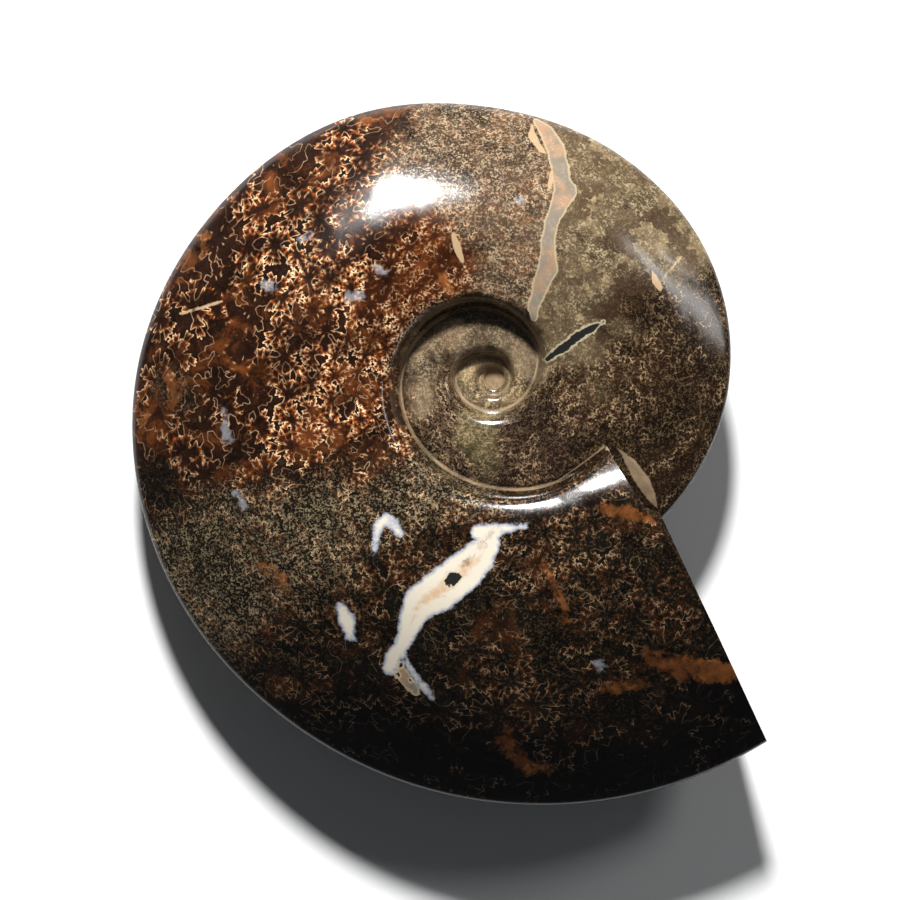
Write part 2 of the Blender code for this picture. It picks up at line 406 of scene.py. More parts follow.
# The stone's grounds, each with its colour, its light flecks, how strongly the chamber walls
# show, how much they glow amber, how thickly it is flecked, how dark the chambers between the
# walls stand out, and the spots of the plan that it covers. Two near-black grounds are painted
# shade: one along the lower rim, over the stone's dark tone, and one along the upper walls of
# the umbilicus
GROUNDS = (
    ((38, 19, 10), (124, 88, 56), 1.0, 1.0, 0.15, 0.0, (
        (200, 250, 60), (250, 200, 50), (300, 160, 50), (370, 120, 45), (230, 330, 70), (300, 300, 60),
        (330, 380, 55), (160, 440, 30), (240, 430, 50), (370, 440, 36), (300, 450, 36), (190, 320, 40),
        (340, 220, 46),
    )),
    ((52, 23, 8), (124, 78, 40), 0.45, 0.9, 0.08, 0.0, (
        (415, 250, 34), (430, 290, 34), (385, 330, 26), (370, 400, 24), (450, 270, 26), (390, 290, 24),
    )),
    ((84, 66, 50), (180, 162, 132), 0.50, 0.5, 0.50, 0.3, (
        (480, 150, 42), (520, 170, 34), (440, 140, 30), (520, 250, 30), (455, 112, 26), (500, 112, 22),
        (470, 210, 30), (500, 285, 24), (400, 160, 26),
    )),
    ((32, 25, 17), (156, 140, 108), 0.46, 0.40, 0.46, 0.1, (
        (340, 500, 44), (200, 540, 34), (260, 500, 36), (410, 480, 34), (300, 560, 40), (230, 590, 34),
        (190, 400, 18), (170, 380, 16), (430, 500, 20), (480, 500, 20),
    )),
    ((114, 97, 71), (172, 153, 122), 0.30, 0.0, 0.50, 1.0, (
        (640, 180, 46), (600, 150, 34), (690, 220, 34), (620, 240, 30), (575, 300, 26), (560, 335, 20),
        (660, 250, 24), (590, 190, 24), (600, 390, 12), (630, 330, 12), (585, 350, 14),
    )),
    ((38, 24, 14), (116, 98, 66), 0.30, 0.25, 0.35, 0.0, (
        (670, 320, 46), (630, 370, 40), (700, 380, 34), (600, 420, 34), (690, 440, 34), (570, 400, 24),
        (640, 440, 26), (660, 480, 20), (725, 330, 24), (640, 290, 20),
    )),
    ((13, 10, 6), (96, 76, 48), 0.26, 0.65, 0.28, 0.0, (
        (520, 600, 60), (460, 660, 60), (560, 560, 46), (620, 600, 50), (680, 640, 40), (560, 680, 60),
        (350, 640, 44), (300, 660, 36), (640, 700, 50), (500, 540, 40), (600, 530, 30), (400, 560, 40),
        (160, 480, 24), (180, 500, 24),
    )),
    # Partly the stone's dark tone and partly painted shade: the darkest ground, along the lower rim, where
    # the flank faces away from the light
    ((3, 2, 2), (36, 27, 18), 0.10, 0.30, 0.10, 0.0, (
        (400, 740, 50), (500, 770, 50), (600, 760, 50), (700, 720, 40), (330, 720, 40), (740, 690, 30),
    )),
    ((112, 95, 74), (172, 154, 124), 0.08, 0.0, 0.50, 0.3, (
        (420, 360, 13), (430, 335, 12), (450, 320, 11), (500, 325, 11), (528, 348, 10), (414, 388, 12),
        (420, 410, 10), (470, 318, 10), (535, 372, 8), (464, 346, 8),
    )),
    ((42, 27, 20), (104, 84, 62), 0.28, 0.15, 0.35, 0.0, (
        (436, 428, 14), (520, 446, 20), (556, 436, 20), (560, 404, 16), (580, 430, 16), (460, 462, 12),
        (500, 474, 14), (540, 470, 12), (540, 410, 10), (447, 404, 12),
    )),
    ((84, 74, 48), (140, 128, 94), 0.25, 0.1, 0.50, 0.2, (
        (482, 442, 13), (470, 425, 10), (488, 462, 9),
    )),
    ((124, 106, 78), (190, 166, 128), 0.0, 0.0, 0.55, 0.0, (
        (490, 382, 15), (476, 372, 10), (505, 376, 10), (495, 398, 10), (465, 385, 8), (520, 392, 7),
    )),
    # Painted shade: a near-black ground along the upper walls of the umbilicus, where they lie in shadow
    ((8, 6, 4), (30, 22, 14), 0.1, 0.1, 0.2, 0.0, (
        (424, 334, 6), (432, 322, 7), (446, 310, 7), (464, 302, 7), (490, 298, 7), (512, 302, 7),
        (530, 314, 7), (541, 332, 5), (476, 352, 3), (490, 350, 3),
    )),
)
GROUND_SOFTNESS = 1.6

# Lobes of the walls that stand alone on the pale ground: root, heading in degrees and length,
# and how strongly they stand out
LEAVES = ((657, 226, 60, 24), (617, 250, 72, 28), (601, 316, 88, 22), (628, 292, 100, 22))
LEAF_STRENGTH = 2.2

# The grounds' edges wander, less and less towards the coiling axis
EDGE_WANDER = 12.0
WANDER_SIZE = 38.0
FINE_WANDER_SIZE = 10.0
FINE_WANDER_SHARE = 1 / 3
AXIS_IN_PLAN = (493.4, 379)
FULL_WANDER_RADIUS = 130
LEAST_WEIGHT = 1e-6


def paint(colours):
    """Screen colours, from 0 to 255, as the light that they stand for."""
    share = np.asarray(colours, float) / 255
    return np.where(share <= 0.04045, share / 12.92, ((share + 0.055) / 1.055) ** 2.4)


corner_points = np.zeros(len(mesh.loops), np.int32)
mesh.loops.foreach_get("vertex_index", corner_points)
wander = np.stack((wandering(WANDER_SIZE, 3.0), wandering(WANDER_SIZE, 8.0)), -1)
fine_wander = np.stack((wandering(FINE_WANDER_SIZE, 5.0), wandering(FINE_WANDER_SIZE, 6.0)), -1)
wander = (wander + fine_wander * FINE_WANDER_SHARE) * EDGE_WANDER
from_axis = np.hypot(*(plan - AXIS_IN_PLAN).T)
wander *= np.clip(from_axis / FULL_WANDER_RADIUS, 0, 1)[:, None]
weights = []
for *_, spots in GROUNDS:
    weight = np.zeros(len(plan))
    for x, y, reach in spots:
        apart = np.hypot(plan[:, 0] + wander[:, 0] - x, plan[:, 1] + wander[:, 1] - y)
        weight += np.exp(-((apart / reach) ** 2) / GROUND_SOFTNESS)
    weights.append(weight + LEAST_WEIGHT)
weights = np.array(weights).T ** 2
weights /= weights.sum(axis=1, keepdims=True)
ground_colour = weights @ paint([ground[0] for ground in GROUNDS])
fleck_colour = weights @ paint([ground[1] for ground in GROUNDS])
finish = weights @ np.array([ground[2:6] for ground in GROUNDS])
for leaf_x, leaf_y, leaf_heading, leaf_length in LEAVES:
    leaf_gap = np.hypot(plan[:, 0] - leaf_x, plan[:, 1] - leaf_y)
    finish[:, 3] = np.maximum(finish[:, 3], LEAF_STRENGTH - (leaf_gap / leaf_length) ** 2)
store("ground", ground_colour)
store("flecks", fleck_colour)
store("finish", finish)

# Cracks and hollows that were filled later. Each is a path in the plan, with its half width.
WHITE_CALCITE = (
    ((478, 532, 8), (493, 531, 8), (508, 528, 5), (528, 526, 2.5)),
    ((492, 534, 9), (487, 547, 13), (478, 558, 17), (466, 569, 20), (453, 580, 20), (437, 592, 21),
     (421, 602, 18), (412, 618, 14), (408, 632, 10), (402, 646, 8), (394, 656, 9), (390, 668, 8)),
    ((402, 648, 4), (406, 662, 3), (414, 674, 4), (423, 686, 4), (432, 698, 2.5)),
    ((375, 556, 3), (375, 540, 4), (377, 526, 5), (386, 518, 6), (395, 525, 5.5), (400, 534, 4)),
    ((340, 606, 5), (347, 620, 9), (350, 634, 6), (357, 640, 2)),
)
PALE_SPOTS = (
    ((520, 200, 5), (520, 201, 5)), ((265, 285, 7), (272, 287, 5)), ((376, 268, 5), (384, 272, 5)),
    ((350, 298, 6), (360, 296, 5)), ((225, 425, 5), (228, 440, 5)), ((236, 494, 4), (244, 506, 5)),
    ((222, 408, 3), (224, 416, 4)), ((598, 662, 4), (603, 668, 4)), ((300, 240, 4), (310, 236, 4)),
)
TAN_VEIN = (
    ((536, 121, 3), (547, 132, 7), (556, 150, 9), (560, 168, 9), (562, 182, 9), (565, 191, 12),
     (559, 205, 9), (552, 222, 7), (548, 240, 7), (548, 256, 8), (548, 268, 10), (542, 281, 9),
     (538, 295, 7), (533, 308, 6), (535, 318, 3)),
    ((396, 664, 4), (402, 674, 6), (410, 684, 6), (416, 692, 4)),
)
DARK_SLIT = (
    ((547, 359, 1.5), (560, 350, 3.5), (576, 338, 4), (590, 329, 3.5), (603, 322, 1)),
    ((446, 583, 2.5), (452, 577, 4.5), (459, 576, 3.5), (450, 588, 1.5)), ((400, 662, 1.5), (401, 666, 1)),
    ((397, 672, 1.8), (399, 676, 1.2)), ((410, 680, 2.2), (411, 681, 2)),
)
PALE_CRACKS = (
    ((646, 258, 0.3), (652, 270, 0.8), (656, 281, 3.5), (660, 288, 3)),
    ((660, 282, 1), (670, 270, 1), (682, 256, 0.8)), ((668, 264, 0.3), (676, 244, 0.4)),
    ((180, 314, 1.2), (200, 308, 1.7), (222, 301, 1.2)),
    ((453, 234, 2), (457, 248, 4), (463, 262, 2)),
    ((532, 124, 0.5), (532, 135, 4), (539, 147, 3), (546, 154, 1)),
    ((552, 165, 0.6), (550, 184, 2.2), (549, 190, 0.8)),
)
OCHRE_PATCHES = (
    ((494, 530, 2), (478, 549, 2.5), (466, 564, 3)), ((449, 589, 1.5), (443, 597, 1.5)),
    ((262, 566, 6), (278, 580, 9), (290, 592, 5)),
    ((505, 735, 9), (512, 752, 10), (528, 768, 7), (548, 768, 5)),
    ((602, 508, 5), (625, 512, 7), (650, 520, 4)),
    ((650, 655, 8), (680, 668, 12), (715, 672, 13), (735, 672, 8)),
    ((600, 690, 5), (625, 685, 7), (648, 682, 5)),
    ((540, 560, 4), (556, 590, 5), (566, 620, 4)),
    ((135, 402, 6), (142, 415, 7), (140, 430, 5)), ((190, 262, 8), (200, 244, 8), (206, 236, 5)),
    ((360, 122, 5), (385, 112, 7), (418, 105, 4)), ((168, 376, 7), (176, 392, 8), (172, 402, 5)),
    ((442, 278, 6), (450, 296, 6)),
)
RAW_SHELL = (
    ((608, 448, 2), (619, 453, 3.5), (631, 464, 5), (643, 480, 6), (650, 494, 5), (655, 508, 3)),
)
FARTHEST = 40.0
MILLIMETRES = 1000.0


def inside_paths(paths):
    """How far each point lies inside the nearest path, in plan steps; negative outside."""
    depth = np.full(len(plan), -FARTHEST)
    for path in paths:
        for start, end in zip(path, path[1:]):
            first = np.array(start[:2], float)
            line = np.array(end[:2], float) - first
            along = np.clip(((plan - first) @ line) / (line @ line), 0, 1)
            gap = np.hypot(*(plan - first - along[:, None] * line).T)
            depth = np.maximum(depth, start[2] + along * (end[2] - start[2]) - gap)
    return depth


store("fillings", np.stack([
    inside_paths(paths) for paths in (WHITE_CALCITE, TAN_VEIN, DARK_SLIT, PALE_CRACKS)
], -1))
seam_gap = np.zeros(len(mesh.vertices), np.float32)
mesh.attributes["seam_gap"].data.foreach_get("value", seam_gap)
store("patches", np.stack([
    inside_paths(OCHRE_PATCHES), inside_paths(PALE_SPOTS), inside_paths(RAW_SHELL), seam_gap * MILLIMETRES,
], -1))

# The frilled edges of the chamber walls. They fold so finely where they meet the shell that
# they read as rosettes: fingers round a middle, with points or round lobules along each finger.
# A finger is its turn from the heading, in degrees, and its share of the reach. A point or bump
# on it is its place along the finger, its turn and its share of the finger's length.
ROSETTES_PER_TURN = 40
FIRST_WALL = -45
LAST_WALL = 38
ROSETTE_SHARES = (0.03, 0.087, 0.153, 0.229, 0.317, 0.41, 0.505, 0.605, 0.71, 0.82, 0.93)
FINGERS = (
    (14, 1.0), (-20, 0.95), (52, 0.85), (-58, 0.85), (96, 0.5), (-92, 0.5), (128, 0.85),
    (-130, 0.85), (162, 1.0), (-166, 0.95),
)
FINGER_REACH = 0.82
REACH_LOSS = 0.30
FINGERS_LEFT_OUT = 0.15
TEETH = ((0.45, 50, 0.30), (0.74, 36, 0.28))
BUMPS = ((0.60, 64, 0.34), (0.92, 24, 0.30))
LEAF = ((0, 1.0), (38, 0.95), (-38, 0.95), (80, 0.8), (-80, 0.8))
FINGER_WIDTH = 0.115
TOOTH_WIDTH = 0.36
LOBULE_WIDTH = 0.12
BUMP_WIDTH = 0.60
ROUNDED_SHARE = 0.22
LEAF_ROOM = 1.2

# A stroke's width falls with this power of what is left of its length
ROUND = 0.5
POINTED = 0.62

# The search for the strokes nearest to a face: how many it keeps and tries, the step between
# the places of a stroke that it looks at, in millimetres, and the sectors it goes by, in degrees
STROKES_KEPT = 5
STROKES_TRIED = 22
TRACE_STEP = 1.3
SECTOR = 60.0
SECTOR_MARGIN = 40.0

# How much chance there is in a rosette's place, headings and lengths
WALL_SCATTER = 0.25
ROW_GAP = 0.03
ROW_GAP_GROWTH = 0.1
ROW_SCATTER = 0.4
HEADING_SCATTER = 35
REACH_SCATTER = (0.85, 1.2)
FINGER_SCATTER = (0.75, 1.15)
FINGER_TURN_SCATTER = 9
TWIG_SCATTER = (0.75, 1.25)
TWIG_TURN_SCATTER = 12
TWIG_ROOT_SCATTER = 0.06
SEED = 11
rng = random.Random(SEED)
strokes = []


def add_stroke(x, y, heading, length, width, taper):
    """One tapering stroke of the wall that is being drawn, pointed or round at its end."""
    strokes.append((x, y, math.cos(heading), math.sin(heading), length, width, taper, wall_angle))


def add_rosette(x, y, heading, reach, fingers, rounded):
    """Fingers round a place, in millimetres of the flattened flank."""
    width, twigs, twig_width, taper = FINGER_WIDTH, TEETH, TOOTH_WIDTH, POINTED
    if rounded:
        width, twigs, twig_width, taper = LOBULE_WIDTH, BUMPS, BUMP_WIDTH, ROUND
    for turn, share in fingers:
        finger = reach * share * rng.uniform(*FINGER_SCATTER)
        turn += rng.uniform(-FINGER_TURN_SCATTER, FINGER_TURN_SCATTER)
        finger_heading = heading + math.radians(turn)
        add_stroke(x, y, finger_heading, finger, reach * width, taper)
        for along, twig_turn, twig_share in twigs:
            for hand in (-1, 1):
                root = finger * (along + rng.uniform(-TWIG_ROOT_SCATTER, TWIG_ROOT_SCATTER))
                twig = finger * twig_share * rng.uniform(*TWIG_SCATTER)
                off = twig_turn + rng.uniform(-TWIG_TURN_SCATTER, TWIG_TURN_SCATTER)
                add_stroke(
                    x + math.cos(finger_heading) * root,
                    y + math.sin(finger_heading) * root,
                    finger_heading + hand * math.radians(off),
                    twig, twig * twig_width, taper,
                )


leaves = []
flattened = read_points("place", 3)[:, :2] * MILLIMETRES
upper = np.flatnonzero(underneath[:, 0] == 0)
for leaf_x, leaf_y, leaf_heading, leaf_length in LEAVES:
    nearest = upper[np.argmin(np.hypot(plan[upper, 0] - leaf_x, plan[upper, 1] - leaf_y))]
    x, y = flattened[nearest]
    wall_angle = math.degrees(math.atan2(y, x))
    reach = leaf_length * PLAN_STEP * MILLIMETRES
    leaves.append((x, y, reach))
    add_rosette(x, y, math.radians(leaf_heading), reach, LEAF, True)
for wall in range(FIRST_WALL, LAST_WALL):
    for count, share in enumerate(ROSETTE_SHARES):
        place_of_wall = wall + count % 2 / 2 + rng.uniform(-WALL_SCATTER, WALL_SCATTER)
        wall_angle = place_of_wall * FULL_TURN / ROSETTES_PER_TURN
        share += (ROW_GAP + ROW_GAP_GROWTH * share) * rng.uniform(-ROW_SCATTER, ROW_SCATTER)
        column = (wall_angle - LAST_WHORL_ANGLE) / step
        if column >= 0:
            column = int(min(column, COLUMNS_PER_TURN))
            x, y = (
                float(np.interp(share, last_shares[0], last_places[column, :, k])) * MILLIMETRES
                for k in (0, 1)
            )
        else:
            here = np.array(wall_angle)
            radius = float(seam_radius(here) * (1 - share) + venter_radius(here) * share) * MILLIMETRES
            x, y = (radius * turn(math.radians(wall_angle)) for turn in (math.cos, math.sin))
        if any(math.hypot(x - a, y - b) < room * LEAF_ROOM for a, b, room in leaves):
            continue
        reach = math.tau / ROSETTES_PER_TURN * math.hypot(x, y) * FINGER_REACH
        reach *= (1 - REACH_LOSS * share) * rng.uniform(*REACH_SCATTER)
        fingers = [finger for finger in FINGERS if rng.random() > FINGERS_LEFT_OUT]
        heading = wall_angle + 90 + rng.uniform(-HEADING_SCATTER, HEADING_SCATTER)
        rounded = rng.random() < ROUNDED_SHARE
        add_rosette(x, y, math.radians(heading), reach, fingers, rounded)
strokes = np.array(strokes)


def near_strokes(centres, wanted):
    """The few of the wanted strokes whose edges come nearest to each of the places."""
    traces = []
    for index in wanted:
        pieces = max(round(strokes[index, 4] / TRACE_STEP), 1)
        traces += [(index, (piece + 0.5) / pieces) for piece in range(pieces)]
    tree = kdtree.KDTree(len(traces))
    for index, (stroke, along) in enumerate(traces):
        x, y, cos, sin, length = strokes[stroke, :5]
        tree.insert((x + cos * length * along, y + sin * length * along, 0), index)
    tree.balance()
    owners = np.array([stroke for stroke, along in traces])
    tried = np.array([
        [found[1] for found in tree.find_n((x, y, 0), STROKES_TRIED)] for x, y in centres
    ])
    tried = np.sort(owners[tried], axis=1)
    along, aside = stroke_frame(centres[:, None, :], tried)
    apart = stroke_distance(along, aside, *strokes[tried, 4:7].transpose(2, 0, 1))
    apart[:, 1:][tried[:, 1:] == tried[:, :-1]] = np.inf
    best = np.argsort(apart, axis=1)[:, :STROKES_KEPT]
    return np.take_along_axis(tried, best, axis=1)


def stroke_frame(places, chosen):
    """Places measured along and across the chosen strokes."""
    away_x = places[..., 0] - strokes[chosen, 0]
    away_y = places[..., 1] - strokes[chosen, 1]
    cos, sin = strokes[chosen, 2], strokes[chosen, 3]
    return away_x * cos + away_y * sin, away_y * cos - away_x * sin


def stroke_distance(along, aside, length, width, taper):
    """How far a place lies outside a tapering stroke."""
    held = np.clip(along, 0, length)
    return np.hypot(along - held, aside) - width * (1 - held / length) ** taper


# Each corner of the mesh keeps its nearest strokes: how far along and aside of the stroke it
# lies, the stroke's length, and its half width, which is negative where the end is round
corners = read_points("place", 3)[corner_points, :2].reshape(-1, 3, 2) * MILLIMETRES
centres = corners.mean(axis=1)
face_angle = np.zeros(len(mesh.polygons), np.float32)
mesh.attributes["angle"].data.foreach_get("value", face_angle)
chosen = np.zeros((len(centres), STROKES_KEPT), int)
for sector in np.arange(FIRST_WALL * FULL_TURN / ROSETTES_PER_TURN, MOUTH_ANGLE, SECTOR):
    here = np.flatnonzero((face_angle >= sector) & (face_angle < sector + SECTOR))
    from_sector = strokes[:, 7] - sector
    wanted = np.flatnonzero((from_sector > -SECTOR_MARGIN) & (from_sector < SECTOR + SECTOR_MARGIN))
    if len(here):
        chosen[here] = near_strokes(centres[here], wanted)
for kept in range(STROKES_KEPT):
    stroke = chosen[:, kept : kept + 1]
    along, aside = stroke_frame(corners, stroke)
    whole = np.ones_like(along)
    signed_width = np.where(strokes[stroke, 6] == ROUND, -1, 1) * strokes[stroke, 5]
    values = np.stack((along, aside, strokes[stroke, 4] * whole, signed_width * whole), -1)
    store(f"stroke_{kept}", values.reshape(-1, 4), "CORNER")

# The polished stone's material: grounds and flecks, chamber walls over them, fillings on top
stone = bpy.data.materials.new("polished_fossil")
stone.use_nodes = True
tree = stone.node_tree
shader = tree.nodes["Principled BSDF"]
COLOUR_MIX = {"data_type": "RGBA"}


class Shade:
    """A socket of the stone's nodes, for use in plain arithmetic."""

    def __init__(self, socket):
        self.socket = socket

    @classmethod
    def node(cls, kind, settings, sockets, output=0):
        """Adds a node with its settings, then its sockets' values or links."""
        made = tree.nodes.new(kind)
        for name, setting in settings.items():
            setattr(made, name, setting)
        for name, value in sockets.items():
            if isinstance(value, Shade):
                tree.links.new(value.socket, made.inputs[name])
            else:
                made.inputs[name].default_value = value
        return cls(made.outputs[output])

    def maths(self, operation, *others):
        sockets = dict(enumerate((self, *others)))
        return Shade.node("ShaderNodeMath", {"operation": operation}, sockets)

    def __add__(self, other):
        return self.maths("ADD", other)

    __radd__ = __add__

    def __mul__(self, other):
        return self.maths("MULTIPLY", other)

    __rmul__ = __mul__

    def __sub__(self, other):
        return self.maths("SUBTRACT", other)

    def __rsub__(self, other):
        return Shade.node("ShaderNodeMath", {"operation": "SUBTRACT"}, {0: other, 1: self})

    def __truediv__(self, other):
        return self.maths("DIVIDE", other)

    def __neg__(self):
        return self * -1

    def __abs__(self):
        return self.maths("ABSOLUTE")

    def power(self, exponent):
        return self.maths("POWER", exponent)

    def at_least(self, other):
        return self.maths("MAXIMUM", other)

    def at_most(self, other):
        return self.maths("MINIMUM", other)

    def step(self, low, high):
        """0 below low, 1 above high, and smooth between."""
        return Shade.node(
            "ShaderNodeMapRange", {"interpolation_type": "SMOOTHSTEP"},
            {0: self, 1: low, 2: high}
        )


def attribute(name):
    """An attribute's colour and its fourth number."""
    settings = {"attribute_name": name}
    colour = Shade.node("ShaderNodeAttribute", settings, {})
    alpha = Shade(colour.socket.node.outputs["Alpha"])
    return colour, alpha


def numbers_of(colour):
    """The three numbers of a colour or a vector."""
    parts = Shade.node("ShaderNodeSeparateXYZ", {}, {0: colour}).socket.node.outputs
    return [Shade(socket) for socket in parts]


def blend(amount, under, over):
    """One colour laid over another."""
    return Shade.node("ShaderNodeMix", COLOUR_MIX, {0: amount, 6: under, 7: over}, 2)


def darken(colour, factor):
    """A colour times a number."""
    start = colour if isinstance(colour, Shade) else colour[:3]
    return Shade.node(
        "ShaderNodeVectorMath", {"operation": "SCALE"}, {0: start, "Scale": factor}
    )


def tint(red, green, blue):
    return (*paint((red, green, blue)), 1)


place = Shade(tree.nodes.new("ShaderNodeTexCoord").outputs["Object"])


def grain(size, detail=2.0, roughness=0.5, warp=0.0):
    """Smooth random numbers round 0.5, in patches of about this size in metres."""
    return Shade.node(
        "ShaderNodeTexNoise", {},
        {"Vector": place, "Scale": 1 / size, "Detail": detail, "Roughness": roughness,
         "Distortion": warp}
    )


CLOUD_SIZE = 0.011
MOTTLE_SIZE = 0.0032
FINE_SIZE = 0.0011
FINEST_SIZE = 0.0006
clouds = grain(CLOUD_SIZE, 3.0, 0.6, 0.4)
mottle = grain(MOTTLE_SIZE, 3.0, 0.6, 0.3)
fine = grain(FINE_SIZE, 2.0, 0.6)
finest = grain(FINEST_SIZE, 1.0, 0.5)
ground, _ = attribute("ground")
fleck_tint, _ = attribute("flecks")
finish, dark_chambers = attribute("finish")
wall_strength, glow_strength, flecking = numbers_of(finish)
fillings, crack_depth = attribute("fillings")
calcite_depth, tan_depth, slit_depth = numbers_of(fillings)
patches, from_seam = attribute("patches")
ochre_depth, spot_depth, raw_depth = numbers_of(patches)

# Chamber walls: the nearest strokes are merged softly, with how far out on its point each is
MERGE = 0.10
LARGEST_EXPONENT = 60
LEAST_NEARNESS = 1e-12
SMALL_STROKE = 1.2
WAVER = 0.25
WAVER_SIZE = 0.0022
ROUND_GLOW = 0.25
waver = (grain(WAVER_SIZE, 1.0) - 0.5) * (2 * WAVER)
near = 0
glow = 0
for kept in range(STROKES_KEPT):
    frame_of_stroke, width = attribute(f"stroke_{kept}")
    along, aside, length = numbers_of(frame_of_stroke)
    aside = aside + waver
    held = along.at_least(0).at_most(length)
    share = held / length
    past = along - held
    gap = (past * past + aside * aside).power(0.5)
    pointed = width.maths("GREATER_THAN", 0)
    width = abs(width)
    outside = gap - width * (1 - share).power(pointed * (POINTED - ROUND) + ROUND)
    weight = (outside / -MERGE).at_most(LARGEST_EXPONENT).maths("EXPONENT")
    near = weight + near
    tip = share * share * (pointed * (1 - ROUND_GLOW) + ROUND_GLOW)
    glow = weight * tip / (1 + (width / SMALL_STROKE).power(2)) + glow
near = near.at_least(LEAST_NEARNESS)
glow = glow / near
distance = near.maths("LOGARITHM", math.e) * -MERGE

# The walls' colours, and their reaches in millimetres: the pale line along an edge, the amber
# glow inside it and the shadow outside it
LINE_HALF = 0.10
LINE_SOFT = 0.11
EDGE_SOFT = 0.05
EDGE_GRAIN = 0.25
GLOW_REACH = 0.25
SHADOW_REACH = 0.5
AMBER = tint(172, 88, 32)
TIP_LIGHT = tint(228, 168, 104)
CREAM = tint(232, 200, 156)
CHAMBER_DARK = tint(48, 32, 22)
GLASS = tint(112, 58, 22)
GLASS_SIZE = 0.013
glass = grain(GLASS_SIZE, 4.0, 0.65, 1.0).step(0.50, 0.68) * glow_strength.power(3)
distance = distance + (fine - 0.5) * EDGE_GRAIN
inside = (-distance).step(-EDGE_SOFT, EDGE_SOFT)
rim_line = 1 - abs(distance).step(LINE_HALF - LINE_SOFT / 2, LINE_HALF + LINE_SOFT)
edge_glow = (distance.at_most(0) / GLOW_REACH).maths("EXPONENT")
amber = (glow * 2.0 + edge_glow * 0.3 - 0.1).at_least(0).at_most(1) * inside
wall_shown = wall_strength * (clouds.step(0.36, 0.56) * 0.75 + 0.25) * (1 - glass * 0.7)
cloud_shade = clouds.step(0.3, 0.7)
fleck_cover = (fine * 0.45 + finest * 0.55 + (flecking - 0.5) * 0.10).step(0.49, 0.57)
fleck_cover = fleck_cover * (mottle.step(0.35, 0.62) * 0.7 + 0.3) * flecking.step(0.0, 0.6)
base = blend(glass * 0.65, ground, GLASS)
base = darken(base, 0.35 + cloud_shade * 0.9 + (mottle - 0.5) * 1.1)
base = blend(fleck_cover * 0.7, base, fleck_tint)
outside_shadow = (distance.at_least(0) / -SHADOW_REACH).maths("EXPONENT")
base = darken(base, 1 - wall_shown * (1 - inside) * (0.25 + outside_shadow * 0.35))
base = darken(base, 1 - inside * wall_shown * 0.35)
dark_shown = (clouds.step(0.42, 0.60) + dark_chambers - 1).at_least(0).at_most(1)
base = blend(inside * dark_shown * (0.35 + mottle * 0.7), base, CHAMBER_DARK)
base = blend(rim_line * dark_chambers * mottle.step(0.45, 0.6) * 0.6, base, CHAMBER_DARK)
tip_colour = blend(glow.step(0.45, 0.95), AMBER, TIP_LIGHT)
base = blend(amber * wall_shown * glow_strength * 0.95, base, tip_colour)
line_amount = rim_line * wall_shown * (glow * 1.6 + 0.3) * (mottle.step(0.3, 0.6) * 0.75 + 0.25)
line_amount = line_amount * (1 - dark_chambers).at_least(0)
base = blend(line_amount.at_most(1), base, CREAM)

# Mineral fillings and patches, each inside its own outline with a ragged edge. Depths inside the
# outlines are in steps of the plan.
RAGGED = 10
FINE_RAGGED = 5
SPOT_GREY = tint(140, 142, 148)
VEIN_TAN = tint(150, 122, 98)
VEIN_GREY = tint(124, 114, 100)
VEIN_EDGE = tint(176, 156, 122)
CRACK_TAN = tint(176, 148, 114)
CALCITE_BLUE = tint(146, 150, 162)
CALCITE_WHITE = tint(204, 195, 178)
CALCITE_TAN = tint(190, 160, 128)
OCHRE = tint(126, 74, 36)
SLIT_EDGE = tint(190, 178, 150)
SLIT_DARK = tint(30, 30, 28)
ragged = (mottle - 0.5) * RAGGED + (fine - 0.5) * FINE_RAGGED
spots = (spot_depth + ragged * 1.6).step(-1.0, 4.0)
base = blend(spots * 0.6, base, SPOT_GREY)
tan = (tan_depth + ragged * 0.3).step(-0.6, 0.6)
tan_inner = blend(clouds.step(0.42, 0.58), VEIN_TAN, VEIN_GREY)
tan_edge = 1 - abs(tan_depth + ragged * 0.5 - 0.6).step(0.5, 1.5)
base = blend(tan, base, darken(tan_inner, 0.7 + mottle * 0.6))
base = blend(tan_edge * 0.6, base, VEIN_EDGE)
cracks = (crack_depth + ragged * 0.25).step(-0.5, 0.5)
base = blend(cracks * 0.85, base, CRACK_TAN)
calcite = (calcite_depth + ragged * 0.7).step(-1.0, 2.0)
calcite_inner = blend((calcite_depth + ragged * 0.8).step(0.5, 5.0), CALCITE_BLUE, CALCITE_WHITE)
calcite_inner = blend((calcite_depth + ragged * 1.5).step(11.0, 20.0), calcite_inner, CALCITE_TAN)
base = blend(calcite, base, calcite_inner)
ochre = (ochre_depth + ragged * 1.6).step(-2.0, 4.0)
ochre = ochre * (0.35 + inside * 0.4 + amber * 0.25)
ochre_shade = 0.3 + cloud_shade * 0.9 + (mottle - 0.5) * 2.0
base = blend(ochre * 0.8, base, darken(OCHRE, ochre_shade))
slit_edge = 1 - abs(slit_depth + ragged * 0.8 + 1.0).step(0.4, 1.4)
base = blend(slit_edge * 0.6, base, SLIT_EDGE)
slit = (slit_depth + ragged * 0.5).step(-0.5, 0.5)
base = blend(slit, base, SLIT_DARK)

# The shell's own edge along the seam, and its broken edge at the mouth's corner
BARE_SHELL = tint(160, 136, 106)
seam_line = 1 - (from_seam + (mottle - 0.5) * 0.8).step(0.25, 0.75)
raw = (raw_depth + ragged * 0.25).step(-0.8, 0.8)
seam_line = seam_line * (0.35 + cloud_shade * 0.5)
raw = seam_line.at_least(raw)
